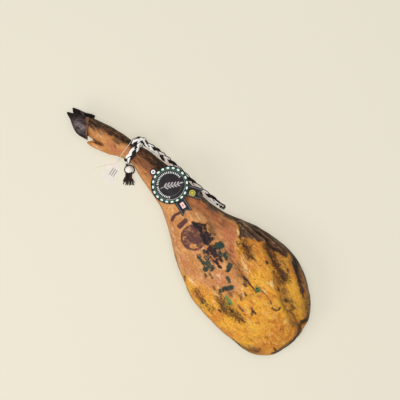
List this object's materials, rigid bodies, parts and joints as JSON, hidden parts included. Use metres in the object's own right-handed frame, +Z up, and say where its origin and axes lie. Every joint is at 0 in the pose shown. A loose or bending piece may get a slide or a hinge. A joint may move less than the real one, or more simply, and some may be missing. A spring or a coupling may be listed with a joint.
{
  "type": "cured ham",
  "caption": "Whole dry-cured ham leg with its hoof, a plaited rope tied round the shank, a round card label with ribbon tails, a tassel and a small paper tag.",
  "frame": {"origin": "under the middle of the ham's length and width, on the surface it lies on", "axes": "+X from the hoof to the butt end, +Y across the ham towards the side that the rope hangs on, +Z up from the flat meat side to the rind"},
  "size_m": [0.8, 0.2623, 0.1347],
  "materials": {
    "cured_meat": "oily cured pork rind and golden fat, speckled and wrinkled",
    "horn": "dark polished hoof horn with fine ridges",
    "plaited_rope": "cotton plait of two white strands and a black one",
    "white_yarn": "wound white cotton yarn",
    "black_yarn": "black cotton yarn",
    "label_card": "black laminated card printed with a green ring of pale ovals",
    "eyelet": "white enamelled eyelet",
    "tag_paper": "pale matt paper with a few grey marks",
    "tag_thread": "thin cream twine"
  },
  "bodies": {
    "root": {"leg": "cured_meat", "outer_claw": "horn", "inner_claw": "horn", "rope_collar": "plaited_rope", "rope_tail": "plaited_rope", "rope_end_knot": "plaited_rope", "tassel_cord": "black_yarn", "tassel_knot": "white_yarn", "tassel_fringe": "black_yarn", "round_label": "label_card", "label_eyelet": "eyelet", "label_tie": "black_yarn", "paper_tag": "tag_paper", "tag_thread_loop": "tag_thread", "tag_thread": "tag_thread"}
  },
  "joints": []
}
